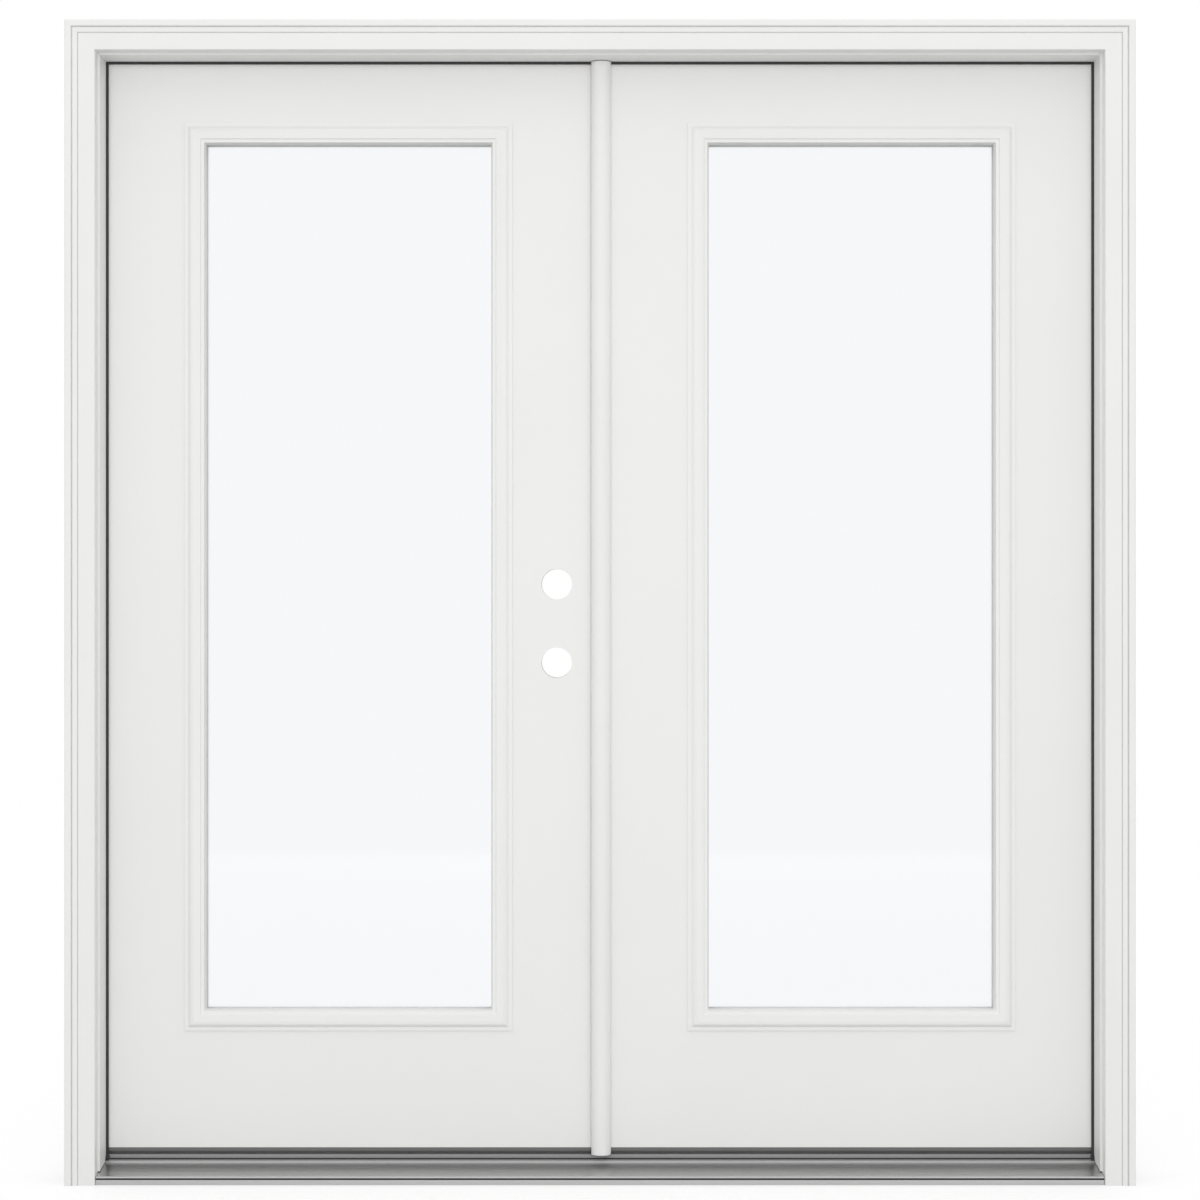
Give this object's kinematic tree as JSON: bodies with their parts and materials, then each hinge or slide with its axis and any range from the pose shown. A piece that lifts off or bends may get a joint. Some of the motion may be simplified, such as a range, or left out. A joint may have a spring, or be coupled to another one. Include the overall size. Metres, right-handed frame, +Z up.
{
  "type": "french doors",
  "caption": "White hinged double patio door in a brickmoulded frame, each leaf with one tall glazed lite, a half-round astragal, lock bores and an aluminium sill.",
  "frame": {"origin": "underside of the sill, at mid width, in the plane where the back of the brickmould meets the outer edge of the jambs", "axes": "+X to the right seen from outside, +Y into the room, +Z up"},
  "size_m": [1.8666, 0.1615, 2.0323],
  "materials": {
    "painted_timber": "satin white paint",
    "steel_skin": "satin primer white",
    "primed_timber": "white primer",
    "foam_core": "cut foam",
    "moulded_lite_frame": "satin moulded",
    "clear_glass": "clear float glass",
    "spacer_metal": "matt",
    "mill_aluminium": "mill finish",
    "sill_composite": "moulded",
    "seal_rubber": "matt",
    "hinge_steel": "satin nickel"
  },
  "bodies": {
    "frame": {"active_frame_hinges": "hinge_steel", "active_hinge_pins": "hinge_steel", "head_brickmould": "painted_timber", "head_jamb": "painted_timber", "head_weatherstrip": "seal_rubber", "left_brickmould": "painted_timber", "left_foot_gasket": "seal_rubber", "left_jamb": "painted_timber", "left_weatherstrip": "seal_rubber", "passive_frame_hinges": "hinge_steel", "passive_hinge_pins": "hinge_steel", "right_brickmould": "painted_timber", "right_foot_gasket": "seal_rubber", "right_jamb": "painted_timber", "right_weatherstrip": "seal_rubber", "sill_deck": "mill_aluminium", "sill_substrate": "sill_composite", "threshold_cap": "sill_composite"},
    "active_leaf": {"active_bottom_rail": "primed_timber", "active_exterior_lite_frame": "moulded_lite_frame", "active_exterior_pane": "clear_glass", "active_exterior_skin": "steel_skin", "active_foam_core": "foam_core", "active_glass_spacer": "spacer_metal", "active_hinge_stile": "primed_timber", "active_interior_lite_frame": "moulded_lite_frame", "active_interior_pane": "clear_glass", "active_interior_skin": "steel_skin", "active_leaf_hinges": "hinge_steel", "active_lock_block": "primed_timber", "active_meeting_stile": "primed_timber", "active_sweep": "seal_rubber", "active_top_rail": "primed_timber"},
    "passive_leaf": {"astragal": "painted_timber", "astragal_weatherstrip": "seal_rubber", "bottom_flush_bolt_case": "hinge_steel", "passive_bottom_rail": "primed_timber", "passive_exterior_lite_frame": "moulded_lite_frame", "passive_exterior_pane": "clear_glass", "passive_exterior_skin": "steel_skin", "passive_foam_core": "foam_core", "passive_glass_spacer": "spacer_metal", "passive_hinge_stile": "primed_timber", "passive_interior_lite_frame": "moulded_lite_frame", "passive_interior_pane": "clear_glass", "passive_interior_skin": "steel_skin", "passive_leaf_hinges": "hinge_steel", "passive_meeting_stile": "primed_timber", "passive_sweep": "seal_rubber", "passive_top_rail": "primed_timber", "top_flush_bolt_case": "hinge_steel"},
    "top_flush_bolt": {"top_flush_bolt": "hinge_steel"},
    "bottom_flush_bolt": {"bottom_flush_bolt": "hinge_steel"}
  },
  "joints": [
    {"name": "active_swing", "type": "hinge", "parent": "frame", "child": "active_leaf", "pos_m": [-0.88735, 0.123, 1], "axis": [0, 0, 1], "range_deg": [0, 110]},
    {"name": "passive_swing", "type": "hinge", "parent": "frame", "child": "passive_leaf", "pos_m": [0.88735, 0.123, 1], "axis": [0, 0, -1], "range_deg": [0, 99]},
    {"name": "top_bolt_slide", "type": "slide", "parent": "passive_leaf", "child": "top_flush_bolt", "axis": [0, 0, 1], "range_m": [0, 0.014]},
    {"name": "bottom_bolt_slide", "type": "slide", "parent": "passive_leaf", "child": "bottom_flush_bolt", "axis": [0, 0, -1], "range_m": [0, 0.014]}
  ],
  "couplings": [
    {"joint": "passive_swing", "follows": "active_swing", "ratio": 0.9}
  ]
}
